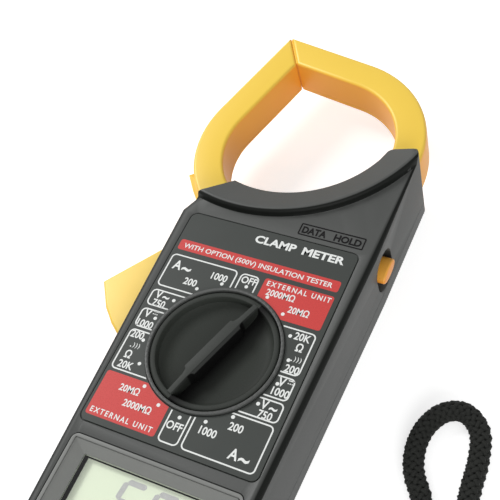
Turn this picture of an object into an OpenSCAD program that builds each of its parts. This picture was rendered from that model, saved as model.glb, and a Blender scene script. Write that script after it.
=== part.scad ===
// Hand-held clamp meter lying on its back. Millimetres.
// Origin: on the plane the back rests on, straight below the axis of the rotary dial.
// +X across the case, +Y towards the jaws, +Z out of the front face.

/* [Case] */
// Width of the case at the jaw end
case_w = 72.4; // [68:0.2:90]
// Width of the case at the bottom end
end_w = 65.2; // [60:0.2:80]
// Thickness of the case, back to front face
case_t = 30; // [29:0.5:40]
// Distance from the dial axis to the bottom end
end_y = 92; // [90:0.5:120]
// Distance from the dial axis to the top of the ear that grips the fixed jaw
ear_y = 92; // [86:0.5:96]
// Side wall of both case halves
wall = 2.2; // [1.6:0.1:3]
// Front plate of the case
plate_t = 2.5; // [2:0.1:3.5]
// Depth of the rear case
rear_d = 5.5; // [5:0.1:8]
// Floor of the rear case and of the battery door
floor_t = 2; // [1.6:0.1:2.4]
// Radius of the bottom corners
end_r = 8; // [4:0.5:12]

/* [Jaws] */
// Radius of the outer bends of both jaws
jaw_r = 40; // [34:0.5:46]
// Width of a jaw, outside to inside
jaw_w = 11.2; // [9:0.1:12]
// Thickness of a jaw, back to front
jaw_t = 15.2; // [13:0.1:17]
// Wall of the jaw mouldings
shell_t = 1.6; // [1.2:0.1:2]
// Gap between the closed tips
tip_gap = 0.4; // [0.3:0.1:1]
// Room between the laminated core and the wall of its jaw
core_gap = 0.5; // [0.3:0.1:1.2]
// Thickness of the laminated core
core_t = 8.4; // [6:0.1:9]
// Diameter of the pin that the jaw lever turns on
pivot_d = 4; // [3:0.1:5]
// Radial clearance of the lever on its pin
pivot_clear = 0.05; // [0.02:0.01:0.1]
// Thickness of the trigger
trigger_t = 10.9; // [9:0.1:11.5]

/* [Dial] */
// Diameter of the dial
dial_d = 42.2; // [38:0.2:44]
// Number of switch positions in a full turn
positions = 18; // [12:1:24]
// Height of the grip bar above the front face
grip_h = 2; // [1:0.1:6]
// Width of the grip bar at its middle
grip_w = 4.4; // [3:0.1:8]
// Width of the grip bar at its ends
grip_end_w = 2.2; // [1.6:0.1:4]
// Diameter of the balls that click the dial into place
detent_ball_d = 1.2; // [0.9:0.1:1.3]

/* [Display] */
// Width of the display bezel
bezel_w = 60; // [56:0.5:62]
// Height of the display bezel
bezel_h = 31.6; // [28:0.2:33]
// Width of the display window
window_w = 48; // [44:0.5:50]
// Height of the display window
window_h = 20.2; // [18:0.2:22]
// Distance from the dial axis to the top edge of the bezel
bezel_y = 39.7; // [39:0.1:41]

/* [Sockets] */
// Bore of the input sockets, for 4 mm plugs
socket_d = 4; // [3.9:0.01:4.2]
// Distance between neighbouring sockets
socket_pitch = 19; // [17:0.25:19.25]
// Usable depth of a socket
socket_depth = 18; // [14:0.5:19]
// Distance from the dial axis to the row of sockets
socket_y = 80.5; // [79:0.1:81]

/* [Battery] */
// Length of the 9 V block battery
battery_l = 48.5; // [46:0.1:49]
// Width of the 9 V block battery
battery_w = 26.5; // [24:0.1:27]
// Thickness of the 9 V block battery
battery_t = 17.5; // [15:0.1:17.6]

/* [Hold button] */
// Height of the oblong hold button
hold_h = 14.4; // [10:0.1:15]
// Width of the oblong hold button
hold_w = 9.6; // [8:0.1:10]
// How far the hold button stands out of the side wall
hold_out = 3; // [2.4:0.1:4]
// Travel of the hold button
hold_travel = 2; // [1:0.1:2.2]

/* [Hidden] */
$fn = 96;

// Colours
case_grey = [0.22, 0.23, 0.22];
jaw_yellow = [1, 0.72, 0.2];
steel = [0.7, 0.7, 0.72];
brass = [0.8, 0.65, 0.3];
copper = [0.72, 0.4, 0.2];
board_green = [0.1, 0.35, 0.18];
part_black = [0.06, 0.06, 0.06];

// Levels
eps = 0.01;
gap = 0.3;
face_z = case_t;
plate_z = face_z - plate_t;
board_t = 1.6;
board_top = face_z - 7;
board_z = board_top - board_t;
jaw_mid = case_t / 2 + 2.5;
jaw_z0 = jaw_mid - jaw_t / 2;
jaw_z1 = jaw_mid + jaw_t / 2;
core_z0 = jaw_mid - core_t / 2;
core_z1 = jaw_mid + core_t / 2;
lever_z1 = min(jaw_z0 + trigger_t, board_z - 2 * gap);
half_top = case_w / 2;
half_end = end_w / 2;

// Window that the jaws close round, and the ridge in front of it
window_c = [-12.5, 101.3];
window_r = 38.3;
ridge_c = [-16.7, 108.3];
ridge_foot_r = 57;
ridge_crest_r = 55.2;
ridge_h = 2.8;
ridge_round = 1.5;
ramp_r = 44;
ramp_z = face_z - 1.4;

// Jaw outline: two bends and two straights that meet at the tip
right_a = 10.4;
left_a = 16.3;
right_c = [case_w / 2 - 1 - jaw_r, 92.4];
left_c = [-8.1, 86.3];
right_dir = [cos(right_a), -sin(right_a)];
left_dir = [-sin(left_a), -cos(left_a)];
tip_half_a = (90 + left_a - right_a) / 2;
jaw_inner_r = jaw_r - jaw_w;
lever_end_a = 238;
core_inset = shell_t + core_gap;
core_w = jaw_w - 2 * core_inset;

// Jaw lever
pivot = [-23, 46.5];
hub_r = pivot_d / 2 + 2.4;
trigger_pts = [[-31.4, -3.5], [-39, -1.7], [-44, 2], [-49, 6.9], [-55.1, 15.9], [-38.7, 37.2],
    [-34.8, 43], [-26.5, 40], [-26, 10]];
arm_pts = [[-34.8, 42.5], [-33.6, 53], [-28, 58.6], [-22.3, 58.6], [-22.3, 51], [-16.8, 47.5], [-24, 36],
    [-26.2, 9], [-31.4, -3.5]];
guard_pts = [[-43.6, 67.6], [-45.4, 66.4], [-40.6, 60.2], [-35.5, 54.6], [-34, 57], [-41, 66]];

// Coil on the fixed core, under the window
coil_core_r = 47;
coil_t = 1.6;
bobbin_t = 0.8;
coil_a0 = -93;
coil_a1 = -68;
core_a1 = -26.6;
core_face_x = -21.5;
// The fixed jaw's walls start where the curved core has passed inside them
jaw_wall_x = right_c[0] + jaw_inner_r + shell_t + 0.35;
jaw_root_y = window_c[1] - sqrt(pow(coil_core_r - core_w / 2, 2) - pow(jaw_wall_x - window_c[0], 2));

// Dial
dial_r = dial_d / 2;
dial_clear = 0.4;
dial_floor_t = 1.3;
dial_floor_z = face_z - 4;
dial_hub_r = 7.6;
rotor_r = 18.2;
rotor_z0 = board_top + 0.5;
rotor_z1 = dial_floor_z - dial_floor_t - 0.2;
dial_turn = -20;
detent_z = (board_top + dial_floor_z - dial_floor_t) / 2;
detent_r = rotor_r + 0.3;
detent_ring_r = detent_r + detent_ball_d / 2 + gap;

// Display
bezel_mid_y = -bezel_y - bezel_h / 2;
window_mid_y = -44.8 - window_h / 2;
glass_w = window_w + 4;
glass_h = window_h + 5;
glass_z0 = board_top + 1.2;
glass_z1 = glass_z0 + 1.8;
lens_z0 = plate_z - 1.3;
lens_z1 = plate_z - 0.1;

// Sockets
sleeve_r = socket_d / 2 + 1;
collar_r = 5.2;
socket_x = [-socket_pitch, 0, socket_pitch];
socket_top = face_z - 1.5;

// Battery bay
battery_y = -57.6;
door_w = 54;
door_y0 = -74;
door_y1 = -41.4;
door_gap = 0.25;
door_set = 0.15;

// Fasteners
screw_r = 1.4;
screw_head_r = 2.7;
boss_r = 3.2;
case_screw_at = [[-27, 6.6 - end_y], [27, 6.6 - end_y], [4, 46.4], [31.6, 64]];
board_screw_at = [[-28, -30], [28, -30], [12, 35.5], [28, 30]];
board_boss_r = 2.5;
door_screw_at = [0, -38];

// Hold button
hold_y = 52.2;
hold_z = face_z / 2 + 0.2;
hold_recess_w = hold_w + 2.8;
hold_recess_h = hold_h + 3;
hold_wall_x = half_top - wall - 2.4;
switch_x = hold_wall_x - 3 - hold_travel - 0.6;

// Wrist strap: round, hand-chosen points of its centre line
strap_w = 8;
strap_h = 6;
strap_x = [6, 17];
strap_pts = [[6, -86, 5.5], [6, -89, 5.5], [6, -92, 5.5], [6, -99, 4.4], [7, -106, 3.2], [12, -113, 3.1], [22, -116, 3.1],
    [34, -114, 3.1], [46, -107.5, 3.1], [58, -98, 3.1], [69, -86.5, 3.1], [77.5, -73, 3.1],
    [83, -59, 3.1], [85.8, -45, 3.1], [86.4, -31, 3.1], [85.6, -18, 3.1], [84.4, -7, 3.1],
    [83.6, 4, 3.1], [81, 12.4, 3.1], [75, 16.6, 3.1], [68.8, 14.4, 3.1], [65, 7.6, 3.1],
    [64.6, -0.6, 3.1], [67, -8, 3.1], [71.6, -14.6, 3.1], [75, -24, 3.1], [75.4, -36, 3.1],
    [73.6, -49, 3.1], [69, -62, 3.1], [62, -74.5, 3.1], [53, -86, 3.1], [42.5, -96, 3.1],
    [31, -102.6, 3.1], [22, -103.4, 3.1], [17.6, -98.6, 4], [17, -92, 5.5], [17, -89, 5.5],
    [17, -86, 5.5]];

function arc(c, r, a0, a1, n) = [for (i = [0:n]) let (a = a0 + (a1 - a0) * i / n) c + r * [cos(a), sin(a)]];
function cross2(a, b) = a[0] * b[1] - a[1] * b[0];
function meet(p, d, q, e) = p + d * cross2(q - p, e) / cross2(d, e);
// Where the two straight outer sides meet when both bends have the radius r
function apex(r) = meet(right_c + r * [sin(right_a), cos(right_a)], right_dir,
    left_c + r * [-cos(left_a), sin(left_a)], left_dir);
// Lower edge of the coil at x, with room for the end of a lead
function coil_foot(x) = window_c[1] - sqrt(pow(coil_core_r + core_w / 2 + bobbin_t + coil_t, 2)
    - pow(x - window_c[0], 2)) - 0.2;
function reversed(list) = [for (i = [len(list) - 1:-1:0]) list[i]];
function unit(v) = v / norm(v);
// Point at u of a smooth curve through four points
function blend4(a, b, c, d, u) = 0.5 * (2 * b + (c - a) * u + (2 * a - 5 * b + 4 * c - d) * u * u
    + (3 * b - a - 3 * c + d) * u * u * u);
function smooth(p, n) = concat([for (i = [0:len(p) - 2], k = [0:n - 1])
    blend4(p[max(i - 1, 0)], p[i], p[i + 1], p[min(i + 2, len(p) - 1)], k / n)], [p[len(p) - 1]]);
function tangent(p, i) = unit(p[min(i + 1, len(p) - 1)] - p[max(i - 1, 0)]);
function helix(turns, len_x, r, n) = [for (i = [0:turns * n]) let (a = 360 * i / n)
    [len_x * i / (turns * n), r * cos(a), r * sin(a)]];

// Closed tube of elliptical section along the points p
module tube(p, w, h, sides, up) {
    n = len(p);
    rings = [for (i = [0:n - 1]) let (t = tangent(p, i), s = unit(cross(t, up)), v = cross(s, t))
        for (k = [0:sides - 1]) let (a = 360 * (k + 0.5) / sides) p[i] + s * cos(a) * w / 2 + v * sin(a) * h / 2];
    walls = [for (i = [0:n - 2], k = [0:sides - 1]) let (j = (k + 1) % sides)
        [i * sides + k, i * sides + j, (i + 1) * sides + j, (i + 1) * sides + k]];
    first = [[for (k = [sides - 1:-1:0]) k]];
    last = [[for (k = [0:sides - 1]) (n - 1) * sides + k]];
    polyhedron(rings, concat(walls, first, last), 4);
}

module slab(z0, z1) {
    translate([0, 0, z0]) linear_extrude(z1 - z0) children();
}

module box(lo, hi) {
    translate(lo) cube(hi - lo);
}

module rod(at, r, z0, z1) {
    translate([at[0], at[1], z0]) cylinder(r = r, h = z1 - z0);
}

module round_rect(w, h, r) {
    hull() for (sx = [-1, 1], sy = [-1, 1]) translate([sx * (w / 2 - r), sy * (h / 2 - r)]) circle(r, $fn = 32);
}

// Strips of the jaw ring, inset from its sides
module right_strip(inset, foot_y) {
    lead = (tip_gap / 2 + inset) / sin(tip_half_a);
    ro = jaw_r - inset;
    ri = jaw_inner_r + inset;
    polygon(concat([apex(ro) + lead * right_dir], arc(right_c, ro, 90 - right_a, 0, 20),
        [[right_c[0] + ro, foot_y], [right_c[0] + ri, foot_y]], arc(right_c, ri, 0, 90 - right_a, 16),
        [apex(ri) + lead * right_dir]));
}

module left_strip(inset, end_a) {
    lead = (tip_gap / 2 + inset) / sin(tip_half_a);
    ro = jaw_r - inset;
    ri = jaw_inner_r + inset;
    polygon(concat([apex(ro) + lead * left_dir, apex(ri) + lead * left_dir],
        arc(left_c, ri, 180 - left_a, end_a, 18), arc(left_c, ro, end_a, 180 - left_a, 20)));
}

module band(c, r0, r1, a0, a1) {
    polygon(concat(arc(c, r0, a0, a1, 28), arc(c, r1, a1, a0, 28)));
}

module case_outline() {
    ear_r = 3;
    side = (half_top - half_end) / (end_y + 48);
    corner = arc([half_end - end_r + 0.2, end_r - end_y], end_r, -90, 0, 8);
    polygon(concat(corner, [[half_top, 48]], arc([half_top - ear_r, ear_y - ear_r], ear_r, 0, 90, 6),
        arc([23.2 + ear_r, ear_y - ear_r + 0.6], ear_r - 0.6, 90, 175, 5),
        reversed(arc(window_c, window_r, -106.8, -22.6, 30)), [[-30.8, 55.6], [-33.6, 53], [-half_top, 47.4]],
        [for (p = reversed(corner)) [-p[0], p[1]]]));
}

module lever_slots() {
    box([-half_top - 5, -5.8, jaw_z0 - 0.5], [-30, 44.2, lever_z1 + 0.5]);
    slab(jaw_z0 - 0.5, jaw_z1 + 0.4) polygon([[-half_top - 5, 44], [-half_top - 5, 74], [-23.3, 74],
        [-23.3, 61.6], [-30, 50], [-30, 44]]);
}

module hold_oval(w, h, x0, x1) {
    translate([x0, hold_y, hold_z]) rotate([90, 0, 90]) linear_extrude(x1 - x0) round_rect(w, h, w / 2 - 0.1);
}

module strap_holes() {
    for (x = strap_x)
        box([x - strap_w / 2 - 0.6, -end_y - 1, floor_t], [x + strap_w / 2 + 0.6, 3 - end_y, floor_t + 7]);
}

module ridge() {
    crest_z = face_z + ridge_h;
    translate([ridge_c[0], ridge_c[1], 0]) rotate([0, 0, 180]) rotate_extrude(angle = 180, $fn = 180)
        polygon(concat([[ramp_r - 4, jaw_z1 + 0.4], [ridge_foot_r, jaw_z1 + 0.4], [ridge_foot_r, face_z]],
            arc([ridge_crest_r, crest_z - ridge_round], ridge_round, 10, 112, 8),
            [[ramp_r, ramp_z], [ramp_r - 4, ramp_z - 1]]));
}

module front_case() {
    color(case_grey) difference() {
        union() {
            difference() {
                slab(rear_d, face_z) case_outline();
                slab(rear_d - 1, plate_z) offset(delta = -wall) case_outline();
                slab(ramp_z - 3, face_z + 1) intersection() {
                    case_outline();
                    translate(ridge_c) circle(ridge_foot_r - 1, $fn = 180);
                }
            }
            intersection() {
                slab(rear_d, face_z + 10) case_outline();
                ridge();
            }
            rod([0, 0], dial_r + dial_clear + wall, dial_floor_z - dial_floor_t, face_z);
            rod([0, 0], detent_ring_r + 2.2, rotor_z0, dial_floor_z);
            rod([0, 0], dial_r + dial_clear + 1.1, plate_z, face_z + 0.9);
            for (p = case_screw_at) rod(p, boss_r, rear_d, plate_z + eps);
            for (p = board_screw_at) rod(p, board_boss_r, board_top, plate_z + eps);
            rod(pivot, hub_r - 0.2, jaw_z1 + 0.3, plate_z + eps);
            hold_oval(hold_recess_w + 2.4, hold_recess_h + 2.4, hold_wall_x - 1.2, half_top - wall + eps);
            box([bezel_w / -2 - 1.2, bezel_mid_y - bezel_h / 2 - 1.2, lens_z0 - 0.1],
                [bezel_w / 2 + 1.2, bezel_mid_y + bezel_h / 2 + 1.2, plate_z + eps]);
        }
        slab(jaw_z0, jaw_z1) right_strip(0, jaw_root_y);
        lever_slots();
        rod([0, 0], dial_r + dial_clear, dial_floor_z, face_z + 2);
        rod([0, 0], dial_hub_r + 0.1, rotor_z0 - 1, face_z);
        rod([0, 0], detent_ring_r, rotor_z0 - 1, dial_floor_z - dial_floor_t);
        for (i = [0:positions - 1]) rotate([0, 0, dial_turn + 360 * i / positions])
            rod([0, detent_ring_r + 0.3], detent_ball_d / 2, rotor_z0 - 1, dial_floor_z - dial_floor_t);
        label_space(0.15, face_z - 0.5);
        slab(face_z - 0.5, face_z + 0.5) difference() {
            translate([0, 5.75]) round_rect(62.8, 82.7, 2.6);
            circle(dial_r + dial_clear + 1.1);
        }
        slab(lens_z0 - 1, face_z + 1) translate([0, bezel_mid_y]) square([bezel_w - 3, bezel_h - 3], center = true);
        slab(plate_z - eps, face_z + 1) translate([0, bezel_mid_y]) round_rect(bezel_w + 0.3, bezel_h + 0.3, 2.5);
        for (x = socket_x) rod([x, -socket_y], collar_r, plate_z - 3, face_z + 2);
        for (p = case_screw_at) rod(p, screw_r + 0.05, rear_d, plate_z - 4);
        for (p = board_screw_at) rod(p, 1.05, board_top - 1, plate_z - 0.6);
        rod(pivot, pivot_d / 2 + 0.03, jaw_z0, plate_z - 0.2);
        hold_oval(hold_recess_w, hold_recess_h, hold_wall_x, half_top + 1);
        hold_oval(hold_w + 0.6, hold_h + 0.6, hold_wall_x - 3, half_top + 1);
        strap_holes();
    }
}

module label_space(clear, z0) {
    slab(z0, face_z) difference() {
        translate([0, 5.75]) round_rect(62.2 + 2 * clear, 82.1 + 2 * clear, 2.4);
        circle(dial_r + dial_clear + 1.3 - clear);
    }
}

module rear_case() {
    bay_x = door_w / 2 + 1.4;
    color(case_grey) difference() {
        union() {
            difference() {
                slab(0, rear_d) case_outline();
                slab(floor_t, rear_d + 1) offset(delta = -wall) case_outline();
            }
            for (p = case_screw_at) rod(p, screw_head_r + 1.5, 0, rear_d);
            rod(pivot, hub_r, floor_t - eps, jaw_z0 - 0.3);
            box([27, jaw_root_y + 1, floor_t - eps], [half_top - wall - 0.2, ear_y - 3, jaw_z0]);
            slab(floor_t - eps, core_z0) band(window_c, coil_core_r - 3, coil_core_r + 3, -66, -60);
            slab(floor_t - eps, core_z0) band(window_c, coil_core_r - 2.6, coil_core_r + 3, -37, -32);
            box([-9, 25, floor_t - eps], [-7, 35, jaw_z0 + 8.5]);
            for (s = [-1, 1]) box([s * bay_x - 0.8, door_y0 + 2, floor_t - eps],
                [s * bay_x + 0.8, door_y1 - 2, floor_t + 9]);
            box([-screw_head_r - 2.2, door_screw_at[1] - 2.6, floor_t - 0.4],
                [screw_head_r + 2.2, door_screw_at[1] + 5.2, floor_t + 4.6]);
        }
        box([-door_w / 2 - door_gap, door_y0 - door_gap, -1], [door_w / 2 + door_gap, door_y1 + door_gap, floor_t + eps]);
        rod(door_screw_at, screw_head_r + 1.6, -1, floor_t);
        box([-screw_head_r - 1.5, door_y1 - 1, -1], [screw_head_r + 1.5, door_y1 + 1.5, floor_t]);
        rod(door_screw_at, screw_r + 0.5, -1, floor_t + 3.6);
        for (s = [-1, 1]) box([s * 16 - 4.3, door_y0 - 3, floor_t - 1.2], [s * 16 + 4.3, door_y0 + 1, floor_t + 1]);
        for (p = case_screw_at) rod(p, screw_r + 0.15, -1, rear_d + 1);
        for (p = case_screw_at) rod(p, screw_head_r + 0.2, -1, 2.6);
        rod(pivot, pivot_d / 2 + 0.03, rear_d, jaw_z0);
        slab(jaw_z0, jaw_z1) right_strip(0, jaw_root_y);
        strap_holes();
    }
}

module battery_door() {
    tab_t = 0.9;
    color(case_grey) difference() {
        union() {
            box([-door_w / 2, door_y0, door_set], [door_w / 2, door_y1, floor_t]);
            rod(door_screw_at, screw_head_r + 1.35, door_set, floor_t - 0.3);
            box([-screw_head_r - 1.2, door_y1 - 1, door_set], [screw_head_r + 1.2, door_y1 + 1, floor_t - 0.3]);
            for (s = [-1, 1]) box([s * 16 - 4, door_y0 - 2.4, floor_t - tab_t], [s * 16 + 4, door_y0 + 1, floor_t]);
        }
        rod(door_screw_at, screw_r + 0.1, -1, floor_t + 1);
        rod(door_screw_at, screw_head_r + 0.1, -1, 0.9);
        for (i = [0:5]) box([-9, door_y0 + 4 + i * 1.8, -1], [9, door_y0 + 4.9 + i * 1.8, door_set + 0.4]);
    }
}

module label_plate() {
    color([0.16, 0.17, 0.16]) label_space(0, face_z - 0.5);
}

module display_bezel() {
    color(part_black) difference() {
        slab(plate_z, face_z) translate([0, bezel_mid_y]) round_rect(bezel_w, bezel_h, 2.4);
        hull() {
            translate([0, bezel_mid_y, face_z]) cube([bezel_w - 3, bezel_h - 3, 0.1], center = true);
            translate([0, window_mid_y, plate_z]) cube([window_w, window_h, 0.1], center = true);
        }
        translate([0, window_mid_y, plate_z]) cube([window_w, window_h, 3], center = true);
    }
}

module display_lens() {
    color([0.85, 0.92, 0.85, 0.4]) translate([-window_w / 2 - 2.2, window_mid_y - window_h / 2 - 1.8, lens_z0])
        cube([window_w + 4.4, window_h + 3.6, lens_z1 - lens_z0]);
}

module display_glass() {
    color([0.78, 0.84, 0.7]) translate([-glass_w / 2, window_mid_y - glass_h / 2, glass_z0])
        cube([glass_w, glass_h, glass_z1 - glass_z0]);
}

module display_frame() {
    color([0.9, 0.9, 0.88]) slab(board_top, glass_z1 + 0.1) translate([0, window_mid_y]) difference() {
        square([glass_w + 3, glass_h + 3], center = true);
        square([glass_w + 0.3, glass_h + 0.3], center = true);
    }
}

module contact_strips() {
    color([0.75, 0.6, 0.7]) for (s = [-1, 1])
        translate([-glass_w / 2 + 1, window_mid_y + s * (glass_h / 2 - 1.4) - 0.9, board_top])
            cube([glass_w - 2, 1.8, glass_z0 - board_top]);
}

module fixed_jaw_front() {
    color(jaw_yellow) difference() {
        slab(jaw_z0 + shell_t, jaw_z1) right_strip(0, jaw_root_y);
        slab(jaw_z0, jaw_z1 - shell_t) right_strip(shell_t, jaw_root_y - 1);
        for (p = jaw_screw_at()) rod(p, 1.05, jaw_z0, jaw_z1 - 1);
    }
    color(jaw_yellow) difference() {
        for (p = jaw_screw_at()) rod(p, 1.9, core_z1 + 0.1, jaw_z1 - shell_t + eps);
        for (p = jaw_screw_at()) rod(p, 0.9, core_z1, jaw_z1 - 1);
    }
}

function jaw_screw_at() = [right_c + (jaw_inner_r + jaw_w / 2) * [cos(64), sin(64)],
    right_c + (jaw_inner_r + jaw_w / 2) * [cos(14), sin(14)]];

module fixed_jaw_back() {
    color(jaw_yellow) difference() {
        slab(jaw_z0, jaw_z0 + shell_t) right_strip(0, jaw_root_y);
        for (p = jaw_screw_at()) rod(p, 1.1, jaw_z0 - 1, jaw_z0 + shell_t + 1);
        for (p = jaw_screw_at()) rod(p, 2, jaw_z0 - 1, jaw_z0 + 0.8);
    }
}

module fixed_core() {
    color(steel) difference() {
        slab(core_z0, core_z1) union() {
            right_strip(core_inset, ear_y - 14);
            difference() {
                band(window_c, coil_core_r - core_w / 2, coil_core_r + core_w / 2, -103, core_a1);
                translate([core_face_x - 20, 40]) square([20, 30]);
            }
        }
        for (p = jaw_screw_at()) rod(p, 1.6, core_z0 - 1, core_z1 + 1);
    }
}

module coil_section(grow, a0, a1) {
    translate([window_c[0], window_c[1], 0]) rotate([0, 0, a0]) rotate_extrude(angle = a1 - a0, $fn = 180)
        translate([coil_core_r - core_w / 2 - grow, core_z0 - grow])
            square([core_w + 2 * grow, core_t + 2 * grow]);
}

module coil_bobbin() {
    flange_a = 1;
    color([0.85, 0.85, 0.8]) difference() {
        union() {
            coil_section(bobbin_t, coil_a0, coil_a1);
            for (a = [coil_a0, coil_a1 - flange_a]) coil_section(bobbin_t + coil_t, a, a + flange_a);
        }
        coil_section(0.1, coil_a0 - 1, coil_a1 + 1);
    }
}

module coil_winding() {
    color(copper) difference() {
        coil_section(bobbin_t + coil_t - 0.2, coil_a0 + 1.2, coil_a1 - 1.2);
        coil_section(bobbin_t + 0.05, coil_a0, coil_a1);
    }
}

module lever_plan(inset) {
    offset(delta = -inset) union() {
        polygon(trigger_pts);
        polygon(arm_pts);
    }
}

module jaw_lever_front() {
    z0 = jaw_z0 + shell_t;
    color(jaw_yellow) difference() {
        union() {
            difference() {
                union() {
                    slab(z0, jaw_z1) left_strip(0, lever_end_a);
                    slab(z0, jaw_z1 - 3) polygon(guard_pts);
                    slab(z0, lever_z1) lever_plan(0);
                }
                slab(z0 - 1, jaw_z1 - shell_t) left_strip(shell_t, lever_end_a - 3);
                slab(z0 - 1, lever_z1 - shell_t) lever_plan(shell_t);
            }
            rod(pivot, hub_r, z0, jaw_z1);
            for (p = lever_screw_at()) rod(p, 2, z0 + 3, lever_z1 - shell_t + eps);
        }
        rod(pivot, pivot_d / 2 + pivot_clear, 0, face_z);
        slab(core_z0 - 0.2, core_z1 + 0.2) moving_core_plan(-0.2);
        for (p = lever_screw_at()) rod(p, 0.95, 0, lever_z1 - 1);
    }
}

function lever_screw_at() = [[-46, 12], [-31.5, 34]];

module jaw_lever_back() {
    color(jaw_yellow) difference() {
        slab(jaw_z0, jaw_z0 + shell_t) union() {
            left_strip(0, lever_end_a);
            lever_plan(0);
            polygon(guard_pts);
            translate(pivot) circle(hub_r);
        }
        rod(pivot, pivot_d / 2 + pivot_clear, 0, face_z);
        for (p = lever_screw_at()) rod(p, 1.1, 0, face_z);
        for (p = lever_screw_at()) rod(p, 2, 0, jaw_z0 + 0.8);
    }
}

module moving_core_plan(grow) {
    difference() {
        left_strip(core_inset + grow, 252);
        translate([core_face_x - gap - grow, 40]) square([20, 30]);
        translate(pivot) circle(pivot_d / 2 + 1.2);
    }
}

module moving_core() {
    color(steel) slab(core_z0, core_z1) moving_core_plan(0);
}

module jaw_pivot_pin() {
    color(steel) rod(pivot, pivot_d / 2, rear_d, plate_z - 0.3);
}

module jaw_spring() {
    x0 = -23.7;
    color(steel) translate([x0, 30, jaw_z0 + 5.5])
        tube(helix(7, -9.7 - x0, 3.2, 12), 0.8, 0.8, 6, [1, 0.1, 0]);
}

module screw(at, head_z, head_h, length, r, head_r) {
    rod(at, head_r, head_z, head_z + head_h);
    rod(at, r, head_z + head_h - eps, head_z + length);
}

module lever_screws() {
    color(steel) for (p = lever_screw_at()) screw(p, jaw_z0 + 0.1, 0.7, 8, 0.9, 1.8);
}

module jaw_screws() {
    color(steel) for (p = jaw_screw_at()) screw(p, jaw_z0 + 0.1, 0.7, jaw_t - 1.3, 0.85, 1.8);
}

module rotary_knob() {
    rim_z = face_z + 0.5;
    dish_z = dial_floor_z + 1.2;
    color(part_black) difference() {
        union() {
            rod([0, 0], dial_r, dial_floor_z + 0.2, rim_z);
            rotate([0, 0, dial_turn]) slab(dial_floor_z + 1, face_z + grip_h) intersection() {
                circle(dial_r - 0.6);
                polygon([[-grip_end_w / 2, -dial_r], [grip_end_w / 2, -dial_r], [grip_end_w / 2, -11],
                    [grip_w / 2, -8.5], [grip_w / 2, 8.5], [grip_end_w / 2, 11], [grip_end_w / 2, dial_r],
                    [-grip_end_w / 2, dial_r], [-grip_end_w / 2, 11], [-grip_w / 2, 8.5], [-grip_w / 2, -8.5],
                    [-grip_end_w / 2, -11]]);
            }
            rod([0, 0], 4.9, rotor_z0 + 0.2, dial_floor_z + 1);
        }
        rotate([0, 0, dial_turn]) difference() {
            translate([0, 0, dish_z]) cylinder(r1 = dial_r - 5, r2 = dial_r - 1, h = rim_z - dish_z + eps);
            translate([-grip_w / 2, -dial_r, 0]) cube([grip_w, 2 * dial_r, case_t * 2]);
        }
        rod([0, 0], 1, 0, dial_floor_z + 1);
    }
}

module switch_rotor() {
    color([0.85, 0.85, 0.8]) difference() {
        union() {
            rod([0, 0], rotor_r, rotor_z0, rotor_z1);
            rod([0, 0], dial_hub_r, rotor_z0, dial_floor_z + 0.15);
        }
        rod([0, 0], 4.95, rotor_z0 - 1, dial_floor_z + 1);
        for (a = [0, 180]) rotate([0, 0, dial_turn + a]) translate([0, 12, rotor_z0 - 1])
            translate([-detent_ball_d / 2 - 0.15, 0, 0]) cube([detent_ball_d + 0.3, 12, rotor_z1 - rotor_z0 + 2]);
        rod([0, 0], 1, 0, dial_floor_z + 1);
    }
}

module rotor_wipers() {
    color(brass) for (i = [0:2]) rotate([0, 0, dial_turn + 30 + 120 * i]) {
        box([-1.2, 8 + 2 * i - 1, board_top + 0.3], [1.2, 14 + i - 1, rotor_z0]);
    }
}

module detent_balls() {
    color(steel) for (a = [0, 180]) rotate([0, 0, dial_turn + a]) translate([0, detent_r, detent_z])
        sphere(d = detent_ball_d);
}

module detent_springs() {
    r = 0.4;
    color(steel) for (a = [0, 180]) rotate([0, 0, dial_turn + a + 90]) translate([12.1, 0, detent_z])
        tube(helix(4, detent_r - detent_ball_d / 2 - 12.3, r, 8), 0.3, 0.3, 5, [1, 0.1, 0]);
}

module rotor_screw() {
    color(steel) {
        rod([0, 0], 3.6, rotor_z0 - 0.15, rotor_z0 + 0.15);
        rod([0, 0], 0.95, rotor_z0, dial_floor_z);
    }
}

module main_board() {
    edge = 30;
    color(board_green) difference() {
        slab(board_z, board_top) polygon([[-half_end + 5, 4.6 - end_y], [half_end - 5, 4.6 - end_y],
            [edge + 0.8, -70], [31.4, 57], [20.6, 57], [20.6, 41.4], [-11, 41.4], [-15.5, 36.5], [-edge, 36.5],
            [-edge, -70]]);
        for (p = case_screw_at) rod(p, boss_r + 0.4, board_z - 1, board_top + 1);
        for (p = board_screw_at) rod(p, 1.2, board_z - 1, board_top + 1);
        for (x = socket_x) rod([x, -socket_y], sleeve_r + 0.05, board_z - 1, board_top + 1);
        rod([0, 0], 3.8, board_z - 1, board_top + 1);
        box([hold_wall_x - 3.4 - hold_travel, hold_y - hold_w / 2 - 1.8, board_z - 1], [33, 60, board_top + 1]);
    }
}

module switch_tracks() {
    color(brass) slab(board_top, board_top + 0.2) for (r = [8, 11, 14.5], i = [0:positions - 1])
        rotate(360 * (i + 0.5) / positions + dial_turn) translate([0, r]) square([r * 0.22, 2], center = true);
}

module meter_chip() {
    color(part_black) box([-1, -27, board_z - 2.4], [13, -13, board_z]);
}

module lying_axial(at, l, r) {
    translate([at[0] - l / 2, at[1], board_z - r - 0.2]) rotate([0, 90, 0]) cylinder(r = r, h = l, $fn = 24);
    for (s = [-1, 1]) rod([at[0] + s * (l / 2 + 1), at[1]], 0.3, board_z - r - 0.5, board_z);
    translate([at[0] - l / 2 - 1.3, at[1], board_z - r - 0.2]) rotate([0, 90, 0]) cylinder(r = 0.3, h = l + 2.6, $fn = 16);
}

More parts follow.
